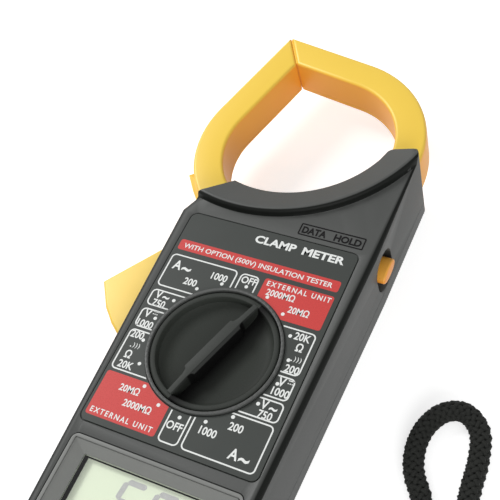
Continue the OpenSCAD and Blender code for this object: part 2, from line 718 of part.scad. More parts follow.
module resistors() {
    color([0.55, 0.75, 0.8]) {
        for (i = [0:4]) lying_axial([22.5, -20 + 4.2 * i], 6, 1.1);
        for (i = [0:2]) lying_axial([-20, -24 - 4 * i], 6, 1.1);
    }
}

module capacitors() {
    color([0.2, 0.3, 0.6]) for (p = [[-8, -24], [-8, -33], [6, -34]]) rod(p, 2.4, board_z - 5.5, board_z);
}

module trimmer() {
    color([0.2, 0.4, 0.75]) difference() {
        box([16, 26, board_z - 4.4], [22, 32, board_z]);
        rod([19, 29], 1.5, board_z - 5, board_z - 3.8);
    }
}

module buzzer() {
    color(part_black) rod([12, 10], 8.5, board_z - 4.5, board_z);
}

module board_screws() {
    color(steel) for (p = board_screw_at) screw(p, board_z - 1.3, 1.3, board_t + 4.4, 1, 2);
}

module hold_button() {
    color([1, 0.62, 0.25]) {
        hold_oval(hold_w, hold_h, hold_wall_x - 1, half_top + hold_out);
        hold_oval(hold_w + 2.2, hold_h + 2.2, hold_wall_x - 3, hold_wall_x - 1.4 - eps);
        hold_oval(hold_w, hold_h, hold_wall_x - 3, hold_wall_x - 1 + eps);
    }
}

module hold_switch() {
    color(part_black) difference() {
        box([19.5, hold_y - 4, board_z - 10], [switch_x, hold_y + 4, board_z]);
        translate([switch_x - hold_travel - 0.4, hold_y, hold_z]) rotate([0, 90, 0]) cylinder(r = 2, h = 5);
    }
}

module hold_plunger() {
    color([0.9, 0.9, 0.88]) translate([switch_x - 0.3, hold_y, hold_z]) rotate([0, 90, 0])
        cylinder(r = 1.6, h = hold_wall_x - 3 - switch_x + 0.3);
}

module input_sockets() {
    bottom = socket_top - socket_depth;
    color(brass) for (x = socket_x) difference() {
        union() {
            rod([x, -socket_y], sleeve_r, bottom - 1, socket_top);
            rod([x, -socket_y], sleeve_r + 1, board_z - 0.8, board_z);
        }
        rod([x, -socket_y], socket_d / 2, bottom, socket_top + 1);
    }
}

module collar(x) {
    difference() {
        union() {
            rod([x, -socket_y], collar_r, board_top + 0.5, face_z + 1.4);
            rod([x, -socket_y], collar_r + 0.8, board_top + 0.5, plate_z);
        }
        rod([x, -socket_y], sleeve_r, 0, socket_top + eps);
        rod([x, -socket_y], sleeve_r + 0.2, socket_top, face_z + 2);
    }
}

module socket_collars() {
    color(part_black) {
        collar(socket_x[0]);
        collar(socket_x[1]);
    }
}

module socket_collar_red() {
    color([0.75, 0.1, 0.1]) collar(socket_x[2]);
}

module battery() {
    color([0.25, 0.3, 0.4]) translate([-battery_l / 2 + 1, battery_y - battery_w / 2, floor_t + 0.3])
        cube([battery_l - 3.5, battery_w, battery_t]);
}

module battery_terminals() {
    x = battery_l / 2 - 2.5;
    color(steel) for (s = [-1, 1]) translate([x, battery_y + s * 6.35, floor_t + battery_t / 2 + 0.3])
        rotate([0, 90, 0]) cylinder(r = 3, h = 1.9);
}

module battery_snap() {
    x = battery_l / 2 - 0.6;
    color(part_black) translate([x, battery_y - 12, floor_t + battery_t / 2 - 5]) cube([0.6, 24, 10]);
}

module battery_leads() {
    z = floor_t + battery_t / 2;
    x = battery_l / 2 + 0.6;
    for (s = [-1, 1]) color(s > 0 ? [0.8, 0.1, 0.1] : part_black)
        tube(smooth([[x - 0.4, battery_y + 8 * s, z + 4.2], [x + 3, battery_y + 8 * s, z + 4.2],
            [x + 4, battery_y + 12 + 3 * s, z + 5.4], [x + 3, battery_y + 20 + 2 * s, board_z - 2.2],
            [x + 3, battery_y + 20 + 2 * s, board_z - 0.4]], 4), 1.1, 1.1, 8, [0, 0.3, 1]);
}

module coil_leads() {
    for (s = [-1, 1]) color(s > 0 ? [0.85, 0.75, 0.1] : [0.1, 0.3, 0.7])
        tube(smooth([[-2 + 1.4 * s, coil_foot(-2 + 1.4 * s), jaw_mid], [-2 + 1.5 * s, 46.5, jaw_mid],
            [-3 + 1.6 * s, 43, board_z - 3], [-4 + 1.7 * s, 39, board_z - 1.4], [-4 + 1.7 * s, 37.4, board_z - 0.4]], 4),
            1, 1, 8, [1, 0.2, 0]);
}

module case_screws() {
    color(steel) for (p = case_screw_at) screw(p, 0.8, 1.7, 20, screw_r, screw_head_r);
}

module door_screw() {
    color(steel) screw(door_screw_at, 0.2, 0.7, floor_t + 3, screw_r, screw_head_r);
}

module strap_anchor() {
    color(part_black)
        box([strap_x[0] - 5, 6 - end_y, floor_t], [strap_x[1] + 4.6, 8.4 - end_y, floor_t + 7.6]);
}

module wrist_strap() {
    color(part_black) tube(smooth(strap_pts, 2), strap_w, strap_h, 8, [0, 0, 1]);
}

front_case();
rear_case();
battery_door();
label_plate();
display_bezel();
display_lens();
display_glass();
display_frame();
contact_strips();
fixed_jaw_front();
fixed_jaw_back();
fixed_core();
coil_bobbin();
coil_winding();
jaw_lever_front();
jaw_lever_back();
moving_core();
jaw_pivot_pin();
jaw_spring();
lever_screws();
jaw_screws();
rotary_knob();
switch_rotor();
rotor_wipers();
detent_balls();
detent_springs();
rotor_screw();
main_board();
switch_tracks();
meter_chip();
resistors();
capacitors();
trimmer();
buzzer();
board_screws();
hold_button();
hold_switch();
hold_plunger();
input_sockets();
socket_collars();
socket_collar_red();
battery();
battery_terminals();
battery_snap();
battery_leads();
coil_leads();
case_screws();
door_screw();
strap_anchor();
wrist_strap();
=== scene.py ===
# %% [markdown]
# # A hand-held clamp meter
# A clamp meter reads the current in a cable without touching it: the yellow jaws hold a laminated
# iron ring that closes round the cable. The casing is two dark mouldings with a printed label, a
# rotary dial, a display and a hold button, and a braided strap hangs from its bottom end.
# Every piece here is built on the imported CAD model, which stays as the frame: a CAD part whose
# shape is right keeps its mesh, and a part that needs softer edges or finer detail is replaced.

# %% Load the frame
import math

import bmesh
import bpy
from mathutils import Matrix, Vector


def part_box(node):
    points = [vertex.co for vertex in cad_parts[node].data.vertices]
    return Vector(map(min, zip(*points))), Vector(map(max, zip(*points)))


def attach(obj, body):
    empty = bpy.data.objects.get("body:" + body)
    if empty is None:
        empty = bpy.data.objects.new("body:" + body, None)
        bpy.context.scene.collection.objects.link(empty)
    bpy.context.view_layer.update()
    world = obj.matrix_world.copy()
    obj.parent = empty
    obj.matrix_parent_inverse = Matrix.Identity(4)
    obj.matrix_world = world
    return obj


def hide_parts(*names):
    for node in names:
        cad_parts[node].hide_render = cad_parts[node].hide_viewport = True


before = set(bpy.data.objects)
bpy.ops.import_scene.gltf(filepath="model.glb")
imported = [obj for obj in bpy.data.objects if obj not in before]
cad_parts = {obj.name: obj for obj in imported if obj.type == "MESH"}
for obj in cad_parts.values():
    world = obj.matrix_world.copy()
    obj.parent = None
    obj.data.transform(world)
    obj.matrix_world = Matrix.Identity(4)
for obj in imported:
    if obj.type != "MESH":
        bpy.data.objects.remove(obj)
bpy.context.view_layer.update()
MM = 0.001
scene = bpy.context.scene

# %% [markdown]
# ## Camera
# The camera comes first, because what it sees decides how far the strap may spread. It stands
# above the bottom right of the meter, turned so that the meter leans across the view. Its three
# directions are given as vectors, which is easier to check than three angles.

# %% Camera
to_right = Vector((0.88716, 0.41236, -0.20714))
to_bottom = Vector((0.23966, -0.79531, -0.55682))
look = Vector((-0.39435, 0.44435, -0.80439))
lens_data = bpy.data.cameras.new("camera")
lens_data.lens = 71.5
lens_data.sensor_width = 36
lens_data.clip_start = 0.01
camera = bpy.data.objects.new("camera", lens_data)
turn = Matrix((to_right, -to_bottom, -look)).transposed().to_4x4()
camera.matrix_world = Matrix.Translation((0.12596, -0.10940, 0.29705)) @ turn
scene.collection.objects.link(camera)
scene.camera = camera
print("camera is", round((camera.location - Vector((0, 0, 0.03))).length / MM), "mm from the dial")

# %% [markdown]
# ## Shader sums as plain Python
# A material is a web of nodes. Wrapping one socket in a small class lets a mask be written as a
# sum, such as 1 - noise * 0.4, and each sign adds its own Math node. Every other kind of node
# comes from the one method, make, which sets the node's settings before its sockets.

# %% The socket class
class Flow:
    def __init__(self, tree, socket=None):
        self.tree, self.socket = tree, socket

    def make(self, kind, settings=None, inputs=None, out=0):
        node = self.tree.nodes.new(kind)
        for name, value in (settings or {}).items():
            if name == "stops":
                ramp = node.color_ramp
                while len(ramp.elements) < len(value):
                    ramp.elements.new(0.5)
                for element, (place, colour) in zip(ramp.elements, value):
                    element.position = place
                    element.color = (*colour, 1)
            else:
                setattr(node, name, value)
        for name, value in (inputs or {}).items():
            if isinstance(value, Flow):
                self.tree.links.new(value.socket, node.inputs[name])
            else:
                node.inputs[name].default_value = value
        return Flow(self.tree, node.outputs[out])

    def sum(self, operation, a, b=0.0):
        return self.make("ShaderNodeMath", {"operation": operation}, {0: a, 1: b})

    def __add__(self, other): return self.sum("ADD", self, other)
    def __radd__(self, other): return self.sum("ADD", other, self)
    def __sub__(self, other): return self.sum("SUBTRACT", self, other)
    def __rsub__(self, other): return self.sum("SUBTRACT", other, self)
    def __mul__(self, other): return self.sum("MULTIPLY", self, other)
    def __rmul__(self, other): return self.sum("MULTIPLY", other, self)
    def __truediv__(self, other): return self.sum("DIVIDE", self, other)
    def __rtruediv__(self, other): return self.sum("DIVIDE", other, self)

    def over(self, above, below=(0, 0, 0)):
        """The colour above where this mask is 1, and below where it is 0."""
        colours = {n: (*c, 1) if isinstance(c, tuple) else c for n, c in ((6, below), (7, above))}
        settings = {"data_type": "RGBA", "clamp_factor": True}
        return self.make("ShaderNodeMix", settings, {0: self, **colours}, out=2)

# %% A material maker
def finish_of(name, colour, roughness, metallic=0.0, **fixed):
    """A new material, its shader node and a Flow on its tree. fixed are sockets that don't vary."""
    material = bpy.data.materials.new(name)
    material.use_nodes = True
    shader = material.node_tree.nodes["Principled BSDF"]
    shader.inputs["Base Color"].default_value = (*colour, 1)
    shader.inputs["Roughness"].default_value = roughness
    shader.inputs["Metallic"].default_value = metallic
    for socket, value in fixed.items():
        shader.inputs[socket.replace("_", " ")].default_value = value
    return material, shader, Flow(material.node_tree)

def feed(shader, **sockets):
    for name, flow in sockets.items():
        flow.tree.links.new(flow.socket, shader.inputs[name.replace("_", " ")])

def place(flow, scale=(1, 1, 1)):
    """Object coordinates, stretched by scale."""
    here = flow.make("ShaderNodeTexCoord", out=3)
    return flow.make("ShaderNodeMapping", {"vector_type": "POINT"}, {"Vector": here, "Scale": scale})

def noise(flow, where, per_metre, detail=2.0, roughness=0.5):
    return flow.make("ShaderNodeTexNoise", None,
        {"Vector": where, "Scale": per_metre, "Detail": detail, "Roughness": roughness})

def bump(flow, height, metres, strength=1.0):
    return flow.make("ShaderNodeBump", None, {"Height": height, "Distance": metres, "Strength": strength})

# %% [markdown]
# ## Moulded plastics
# The casing is moulded in a tool whose walls were spark-eroded, so its skin is a field of tiny
# pits, a quarter of a millimetre across. Two sizes of noise give that skin, and they also move
# the roughness a little, which is what makes a grazing light break up on real plastic.

# %% Plastics
def moulded_plastic(name, colour, roughness, pit=0.25, depth=0.02, shift=0.12, **fixed):
    material, shader, flow = finish_of(name, colour, roughness, **fixed)
    here = place(flow)
    pits = noise(flow, here, 1000 / pit, 3, 0.6)
    broad = noise(flow, here, 90, 2)
    lighter = tuple(min(1, c * (1 + shift)) for c in colour)
    darker = tuple(c * (1 - shift) for c in colour)
    feed(shader, Base_Color=(broad * 0.5 + pits * 0.5).over(lighter, darker),
         Roughness=roughness - 0.06 + pits * 0.12,
         Normal=bump(flow, pits, depth * MM))
    return material

case_plastic = moulded_plastic("case_plastic", (0.050, 0.053, 0.050), 0.52, 0.3, 0.03, 0.18)
label_film = moulded_plastic("label_film", (0.036, 0.041, 0.037), 0.5, 0.25, 0.01, 0.18,
    Specular_IOR_Level=0.3)
black_plastic = moulded_plastic("black_plastic", (0.014, 0.014, 0.014), 0.45, 0.25, 0.01,
    Specular_IOR_Level=0.3)
red_plastic = moulded_plastic("red_plastic", (0.55, 0.03, 0.03), 0.3, 0.4, 0.006)
white_plastic = moulded_plastic("white_plastic", (0.72, 0.72, 0.66), 0.45, 0.4, 0.01, 0.05)
print("plastics:", [m.name for m in bpy.data.materials])

# %% [markdown]
# Some plastics have light and shade painted into their colour, set by the direction that the surface
# faces, which the Geometry node gives. The jaws and the hold button are painted paler on their flat,
# lit faces and a deeper orange on their walls, as painted shade. The long rounded edge of the casing
# has painted shade in its middle, so it reads as a dark line.

# %% Plastics with painted light and shade by direction
def facing_up(flow):
    """How far the surface faces up, from -1 to 1."""
    normal = flow.make("ShaderNodeNewGeometry", out=1)
    return flow.make("ShaderNodeSeparateXYZ", None, {0: normal}, out=2)

def clipped(flow, value):
    return flow.sum("MINIMUM", flow.sum("MAXIMUM", value, 0.0), 1.0)

def painted_facing_shade(name, flat, wall, roughness, pit, depth, **fixed):
    material, shader, flow = finish_of(name, flat, roughness, **fixed)
    here = place(flow)
    pits, broad = noise(flow, here, 1000 / pit, 3, 0.6), noise(flow, here, 90, 2)
    # Painted light and shade: the lit flat colour on faces turned up, the deeper shaded wall colour on faces
    # turned aside.
    up = clipped(flow, (facing_up(flow) - 0.15) / 0.7)
    colour = up.over(flat, wall)
    shade = (broad * 0.5 + pits * 0.5) * 0.12
    feed(shader, Base_Color=shade.over(tuple(c * 0.7 for c in wall), colour),
         Roughness=roughness - 0.06 + pits * 0.12, Normal=bump(flow, pits, depth * MM))
    return material

# The jaws and the button get painted light on their tops and painted shade on their walls.
jaw_plastic = painted_facing_shade("jaw_plastic", (0.96, 0.66, 0.075), (0.96, 0.42, 0.045), 0.42, 0.45, 0.012)
button_plastic = painted_facing_shade("button_plastic", (0.96, 0.46, 0.06), (0.96, 0.34, 0.03), 0.4, 0.4, 0.008)

def edge_shade_plastic():
    material, shader, flow = finish_of("case_edge_shade", (0.085, 0.088, 0.085), 0.5, Specular_IOR_Level=0.12)
    up = facing_up(flow)
    # Painted light and shade: nearly black in the middle of the round, lighter than the casing where it meets
    # the face and the side.
    dark = clipped(flow, (0.995 - up) * 9) * clipped(flow, (up + 0.02) * 9)
    feed(shader, Base_Color=dark.over((0.005, 0.006, 0.005), (0.085, 0.088, 0.085)))
    return material

case_edge_shade = edge_shade_plastic()
# Painted light: the bezel has the casing's grey, made lighter here for the light that its sloped wall
# catches.
bezel_plastic = moulded_plastic("bezel_plastic", (0.19, 0.195, 0.185), 0.5, 0.3, 0.02, 0.15)

# %% [markdown]
# The dial is black, with the same pitted skin. A nearly black painted shadow lies in the well beside
# the bar, on the side turned away from the light, and the top of the bar is painted lighter as a highlight.

# %% Dial plastic with painted shadow and highlight
DIAL_TURN = math.radians(-20)
SHADOW_WIDTH, BAR_HALF = 7.5, 0.8         # mm across the grip bar
# Heights in metres: below the first, the well beside the bar takes the painted shadow; above the second, the
# bar's top takes the painted highlight.
SHADOW_TOP_Z, BAR_HIGHLIGHT_Z = 0.0322, 0.0303

def dial_finish():
    material, shader, flow = finish_of("dial_plastic", (0.030, 0.034, 0.029), 0.55, Specular_IOR_Level=0.12)
    where = place(flow)
    pits = noise(flow, where, 2800, 3, 0.6)
    x, y, z = (flow.make("ShaderNodeSeparateXYZ", None, {0: where}, out=i) for i in range(3))
    across = (x * math.cos(DIAL_TURN) + y * math.sin(DIAL_TURN)) / MM
    # Painted shadow: nearly black on the bar's side away from the light, fading out across the well.
    shadow_reach = clipped(flow, 1.35 - across / SHADOW_WIDTH)
    beside = clipped(flow, (across - BAR_HALF) * 4)
    low = clipped(flow, (SHADOW_TOP_Z - z) * 3000)
    # Painted highlight: the top of the bar is lighter.
    top = clipped(flow, (z - BAR_HIGHLIGHT_Z) * 2000)
    plain = (pits * 0.5 + top * 0.6).over((0.058, 0.062, 0.058), (0.022, 0.026, 0.021))
    feed(shader, Base_Color=(shadow_reach * beside * low).over((0.002, 0.002, 0.002), plain),
         Roughness=0.5 + pits * 0.12, Normal=bump(flow, pits, 0.03 * MM))
    return material

dial_plastic = dial_finish()

# %% [markdown]
# ## Metals, boards and small parts
# Turned and pressed metal shows fine lines along one direction, so its noise is stretched. The
# iron core is a stack of sheets, which a wave across its thickness shows. The circuit board has
# its solder mask over copper, which raises the tracks slightly.

# %% Metals and inner parts
def drawn_metal(name, colour, roughness, lines=(1, 1, 40), per_metre=900.0):
    material, shader, flow = finish_of(name, colour, roughness, 1.0)
    grain = noise(flow, place(flow, lines), per_metre, 3)
    feed(shader, Roughness=roughness - 0.1 + grain * 0.2,
         Base_Color=grain.over(tuple(min(1, c * 1.1) for c in colour), tuple(c * 0.85 for c in colour)),
         Normal=bump(flow, grain, 0.01 * MM))
    return material

steel = drawn_metal("steel", (0.62, 0.62, 0.64), 0.32)
brass = drawn_metal("brass", (0.80, 0.62, 0.30), 0.28)

def striped(name, dark, light, roughness, axis, per_metre, metallic=0.0, depth=0.03):
    """A stack of thin sheets or turns of wire, across one axis."""
    material, shader, flow = finish_of(name, light, roughness, metallic)
    settings = {"wave_type": "BANDS", "bands_direction": axis}
    bands = flow.make("ShaderNodeTexWave", settings,
        {"Vector": place(flow), "Scale": per_metre, "Distortion": 0.4}, out=1)
    feed(shader, Base_Color=bands.over(light, dark), Normal=bump(flow, bands, depth * MM))
    return material

core_steel = striped("core_steel", (0.14, 0.14, 0.15), (0.42, 0.42, 0.44), 0.42, "Z", 600, 1.0)
copper_wire = striped("copper_wire", (0.28, 0.07, 0.02), (0.70, 0.28, 0.10), 0.3, "X", 900, 0.8, 0.08)

def printed_board():
    material, shader, flow = finish_of("board", (0.02, 0.16, 0.06), 0.3, Coat_Weight=0.4)
    here = place(flow)
    tracks = flow.make("ShaderNodeTexVoronoi", {"feature": "DISTANCE_TO_EDGE", "distance": "MANHATTAN"},
        {"Vector": here, "Scale": 260.0})
    line = flow.sum("LESS_THAN", tracks, 0.09)
    feed(shader, Base_Color=line.over((0.03, 0.26, 0.10), (0.012, 0.11, 0.045)),
         Normal=bump(flow, line, 0.03 * MM))
    return material

def speckled(name, colour, spot, roughness, per_metre=1500.0, **fixed):
    material, shader, flow = finish_of(name, colour, roughness, **fixed)
    spots = noise(flow, place(flow), per_metre, 2)
    mask = flow.make("ShaderNodeValToRGB", {"stops": [(0.45, (0, 0, 0)), (0.62, (1, 1, 1))]}, {"Fac": spots})
    feed(shader, Base_Color=mask.over(spot, colour), Roughness=roughness + mask * 0.1,
         Normal=bump(flow, spots, 0.01 * MM))
    return material

board = printed_board()
chip_epoxy = speckled("chip_epoxy", (0.016, 0.016, 0.017), (0.03, 0.03, 0.032), 0.5)
component = speckled("component", (0.16, 0.36, 0.46), (0.22, 0.44, 0.55), 0.3, 700.0)
rubber_strip = speckled("rubber_strip", (0.55, 0.40, 0.45), (0.45, 0.32, 0.37), 0.7)
battery_skin = speckled("battery_skin", (0.10, 0.13, 0.22), (0.13, 0.17, 0.27), 0.3, 400.0, Coat_Weight=0.3)
wire_skin = speckled("wire_skin", (0.45, 0.04, 0.04), (0.52, 0.06, 0.05), 0.4, 900.0)

# %% [markdown]
# ## Print, window and display
# The label's print lies on top of its film and is a little uneven, as ink is. The window is a
# clear sheet, and the display behind it is pale with a faint green cast.

# %% Inks and glass
def ink(name, colour, gloss=0.4):
    return speckled(name, colour, tuple(c * 0.9 for c in colour), 0.45, 2500.0, Specular_IOR_Level=gloss)

white_ink = ink("white_ink", (0.86, 0.88, 0.86))
red_ink = ink("red_ink", (0.60, 0.045, 0.040))
# Painted shade: a black that stands for shade, on the raised DATA HOLD and on the window's border.
painted_shade_black = ink("painted_shade_black", (0.004, 0.004, 0.004), 0.12)

def display_surface():
    material, shader, flow = finish_of("display", (0.87, 0.96, 0.72), 0.25)
    broad = noise(flow, place(flow), 35.0, 2)
    feed(shader, Base_Color=broad.over((0.90, 0.97, 0.76), (0.84, 0.94, 0.69)),
         Roughness=0.22 + broad * 0.06)
    return material

display = display_surface()
segment_ink = speckled("segment_ink", (0.42, 0.41, 0.42), (0.46, 0.45, 0.46), 0.35, 900.0)

def clear_sheet():
    material, shader, flow = finish_of("clear_window", (0.93, 0.97, 0.93), 0.04, IOR=1.49, Alpha=0.14)
    haze = noise(flow, place(flow), 500.0, 2)
    feed(shader, Roughness=0.03 + haze * 0.05)
    return material

clear_window = clear_sheet()

# %% [markdown]
# ## The braided strap
# The strap is a tubular braid: six strands wind one way round it and six the other way, each
# passing over and under those that cross it. A cosine along the length lifts one set where it
# drops the other, which is all that a plain braid needs. Each strand is a curve with a round
# section, and a thirteenth curve down the middle is the filling, so no light shows through.

# %% Strap route
route = [(6, -86, 5.5), (6, -89, 5.5), (6, -92, 5.5), (6, -99, 4.4), (7, -106, 3.2), (12, -113, 3.1),
    (22, -116, 3.1), (34, -114, 3.1), (46, -107.5, 3.1), (58, -98, 3.1), (69, -86.5, 3.1), (77.5, -73, 3.1),
    (83, -59, 3.1), (85.8, -45, 3.1), (86.4, -31, 3.1), (85.6, -18, 3.1), (84.4, -7, 3.1), (83.6, 4, 3.1),
    (81, 12.4, 3.1), (75, 16.6, 3.1), (68.8, 14.4, 3.1), (65, 7.6, 3.1), (64.6, -0.6, 3.1), (67, -8, 3.1),
    (71.6, -14.6, 3.1), (75, -24, 3.1), (75.4, -36, 3.1), (73.6, -49, 3.1), (69, -62, 3.1), (62, -74.5, 3.1),
    (53, -86, 3.1), (42.5, -96, 3.1), (31, -102.6, 3.1), (22, -103.4, 3.1), (17.6, -98.6, 4), (17, -92, 5.5),
    (17, -89, 5.5), (17, -86, 5.5)]
route = [Vector(p) * MM for p in route]
STRAP_W, STRAP_H = 7.2 * MM, 5.8 * MM

def smoothed(points, steps):
    """Points on one smooth curve that passes through every given point."""
    line = []
    for i in range(len(points) - 1):
        a, b = points[max(i - 1, 0)], points[i]
        c, d = points[i + 1], points[min(i + 2, len(points) - 1)]
        for k in range(steps):
            u = k / steps
            line.append(0.5 * (2 * b + (c - a) * u + (2 * a - 5 * b + 4 * c - d) * u * u
                               + (3 * b - a - 3 * c + d) * u ** 3))
    return line + [points[-1].copy()]

def evenly(line, step):
    """The same line with its points a step apart, with how far along each one lies."""
    out, along, left = [line[0].copy()], 0.0, step
    for a, b in zip(line, line[1:]):
        span = (b - a).length
        while span > left:
            a = a.lerp(b, left / span)
            span -= left
            out.append(a.copy())
            left = step
        left -= span
    return out

strap_line = smoothed(route, 8)
strap_length = sum((b - a).length for a, b in zip(strap_line, strap_line[1:]))
print("strap is", round(strap_length / MM), "mm long")

# %% Strap strands
STRANDS, LEAD, WAVE, STRAND_R = 6, 15 * MM, 0.38 * MM, 0.80 * MM
braid_line = evenly(strap_line, LEAD / 30)

def add_spline(curve, points, radius):
    spline = curve.splines.new("POLY")
    spline.points.add(len(points) - 1)
    for point, co in zip(spline.points, points):
        point.co = (*co, 1)
        point.radius = radius
    spline.use_smooth = True

def braid(line):
    curve = bpy.data.curves.new("strap", "CURVE")
    curve.dimensions = "3D"
    curve.bevel_depth = STRAND_R
    curve.bevel_resolution = 1
    curve.use_fill_caps = True
    wide, high = STRAP_W / 2 - STRAND_R - WAVE, STRAP_H / 2 - STRAND_R - WAVE
    frames = []
    for i, p in enumerate(line):
        along = (line[min(i + 1, len(line) - 1)] - line[max(i - 1, 0)]).normalized()
        side = along.cross(Vector((0, 0, 1))).normalized()
        frames.append((p, side, side.cross(along)))
    for way in (1, -1):
        for k in range(STRANDS):
            points = []
            for i, (p, side, up) in enumerate(frames):
                turned = 2 * math.pi * i / 30
                lift = way * WAVE * math.cos(STRANDS * turned)
                a = way * turned + 2 * math.pi * k / STRANDS
                points.append(p + side * math.cos(a) * (wide + lift) + up * math.sin(a) * (high + lift))
            add_spline(curve, points, 1.0)
    add_spline(curve, line[::10] + [line[-1]], (STRAP_H / 2 - STRAND_R) / STRAND_R)
    maker = bpy.data.objects.new("strap_curve", curve)
    scene.collection.objects.link(maker)
    bpy.context.view_layer.update()
    mesh = bpy.data.meshes.new_from_object(maker.evaluated_get(bpy.context.evaluated_depsgraph_get()))
    bpy.data.objects.remove(maker)
    return mesh

# %% [markdown]
# Braided cord is matt, with a weak sheen along its fibres. Fine noise, drawn out along the strap,
# gives the fibres, and the grooves between strands come from the real shape.

# %% Strap material
def braid_finish():
    material, shader, flow = finish_of("braid", (0.012, 0.013, 0.012), 0.8, Sheen_Weight=0.06,
        Sheen_Roughness=0.4, Specular_IOR_Level=0.2)
    fibres = noise(flow, place(flow, (1, 1, 0.6)), 2600.0, 3, 0.7)
    broad = noise(flow, place(flow), 160.0, 2)
    feed(shader, Base_Color=(fibres * 0.6 + broad * 0.4).over((0.026, 0.027, 0.024), (0.004, 0.005, 0.004)),
         Roughness=0.62 + fibres * 0.25, Normal=bump(flow, fibres, 0.12 * MM))
    return material

braid_black = braid_finish()
strap = bpy.data.objects.new("strap_braid", braid(braid_line))
scene.collection.objects.link(strap)
strap.data.materials.clear()
strap.data.materials.append(braid_black)
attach(strap, "meter")
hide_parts("wrist_strap")
print("strap has", len(strap.data.polygons), "faces")

# %% [markdown]
# ## Softening a CAD part
# A moulded edge is never sharp. The CAD mesh arrives as loose triangles, so a copy is merged, its
# flat faces are joined, and then its edges can be rounded: the few large rounds by a bevel on
# chosen edges, and every other hard edge by a small Bevel modifier that makes a fine highlight.

# %% Softening helper
def softened(node, name, finish, body="meter", *, hair, rounds=(), steps=2, edge=None, dark=None):
    """A copy of a CAD part with softened edges. rounds are (test, width, segments) on edges.
    edge is a second finish, which carries painted shade, for the rounds and for the faces that dark picks."""
    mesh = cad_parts[node].data.copy()
    mesh.name = name
    mesh.materials.clear()
    for layer in (finish, edge) if edge else (finish,):
        mesh.materials.append(layer)
    bm = bmesh.new()
    bm.from_mesh(mesh)
    bmesh.ops.remove_doubles(bm, verts=bm.verts, dist=2e-6)
    bmesh.ops.dissolve_limit(bm, angle_limit=math.radians(0.4), verts=bm.verts, edges=bm.edges)
    for test, width, segments in rounds:
        bm.normal_update()
        chosen = [e for e in bm.edges if len(e.link_faces) == 2 and test(e)]
        if chosen:
            made = bmesh.ops.bevel(bm, geom=chosen, offset=width * MM, segments=segments, affect="EDGES",
                                   profile=0.5, material=-1, clamp_overlap=False, offset_type="OFFSET")
            for face in made["faces"]:
                face.material_index = 1 if edge else 0
    wide = [f for f in bm.faces if len(f.verts) > 4 and f.calc_area() > 20e-6]
    bmesh.ops.triangulate(bm, faces=wide, quad_method="BEAUTY", ngon_method="BEAUTY")
    bm.normal_update()
    for face in bm.faces:
        if dark and dark(face.calc_center_median() / MM, face.normal):
            face.material_index = 1
    bm.to_mesh(mesh)
    bm.free()
    piece = bpy.data.objects.new(name, mesh)
    scene.collection.objects.link(piece)
    mesh.shade_smooth()
    mesh.set_sharp_from_angle(angle=math.radians(32))
    soft = piece.modifiers.new("edge", "BEVEL")
    soft.width, soft.segments = hair * MM, steps
    soft.limit_method, soft.angle_limit = "ANGLE", math.radians(38)
    soft.use_clamp_overlap = False
    soft.harden_normals = True
    soft.miter_outer = "MITER_ARC"
    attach(piece, body)
    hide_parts(node)
    print(name, len(mesh.polygons), "faces")

def high_rim(level, skip=lambda middle: False, low=None):
    """Edges between a flat top at this level and an outer wall."""
    def test(edge):
        up = [f for f in edge.link_faces if f.normal.z > 0.99]
        side = [f for f in edge.link_faces if abs(f.normal.z) < 0.2]
        middle = (edge.verts[0].co + edge.verts[1].co) / 2 / MM
        if len(up) != 1 or len(side) != 1 or abs(middle.z - level) > 0.05 or skip(middle):
            return False
        return low is None or min(v.co.z for v in side[0].verts) / MM < low
    return test

def low_rim(level, skip=lambda middle: False):
    """Edges between a flat underside at this level and an outer wall."""
    def test(edge):
        down = [f for f in edge.link_faces if f.normal.z < -0.99]
        side = [f for f in edge.link_faces if abs(f.normal.z) < 0.2]
        middle = (edge.verts[0].co + edge.verts[1].co) / 2 / MM
        return len(down) == 1 and len(side) == 1 and abs(middle.z - level) < 0.05 and not skip(middle)
    return test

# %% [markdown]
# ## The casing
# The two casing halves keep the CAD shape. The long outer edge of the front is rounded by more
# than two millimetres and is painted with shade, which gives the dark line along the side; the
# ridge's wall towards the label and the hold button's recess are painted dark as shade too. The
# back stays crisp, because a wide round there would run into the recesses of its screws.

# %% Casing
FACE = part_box("label_plate")[1].z / MM
PIVOT = Vector((-23, 46.5))

def inside_face(p):
    """The middle of the front face, whose own edges stay crisp."""
    return abs(p.x) < LONG_EDGE_X and -89 < p.y < 49

RIDGE_C, RIDGE_IN, RIDGE_OUT = Vector((-16.7, 108.3)), 54.8, 57.7
LONG_EDGE_X, EDGE_DEPTH = 31.9, 2.4
RECESS_Y, RECESS_Z = 9, 6.5
key_low, key_high = (Vector(corner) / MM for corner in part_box("hold_button"))

def painted_shade_faces(at, normal):
    """Faces painted dark as shade: the ridge's wall towards the label, the long rounded edges, and the hold
    button's recess.
    """
    out = at.to_2d() - RIDGE_C
    if at.z > FACE - 0.4 and RIDGE_IN < out.length < RIDGE_OUT:
        return normal.to_2d().dot(out.normalized()) > 0.2
    if at.z > FACE - EDGE_DEPTH and abs(at.x) > LONG_EDGE_X and -88 < at.y < 58 and 0.03 < normal.z < 0.985:
        return True
    return (at.x > key_low.x + 2 and normal.x < 0.9
            and abs(at.y - (key_low.y + key_high.y) / 2) < RECESS_Y
            and abs(at.z - (key_low.z + key_high.z) / 2) < RECESS_Z)

# The long round and the picked faces get the second finish, which is painted shade.
softened("front_case", "case_front", case_plastic, hair=0.22, edge=case_edge_shade,
         rounds=[(high_rim(FACE, inside_face, low=27.6), 2.3, 6)], dark=painted_shade_faces)
softened("rear_case", "case_back", case_plastic, hair=0.05)
softened("battery_door", "battery_cover", case_plastic, "door", hair=0.18)
softened("label_plate", "label_sheet", label_film, hair=0.08)
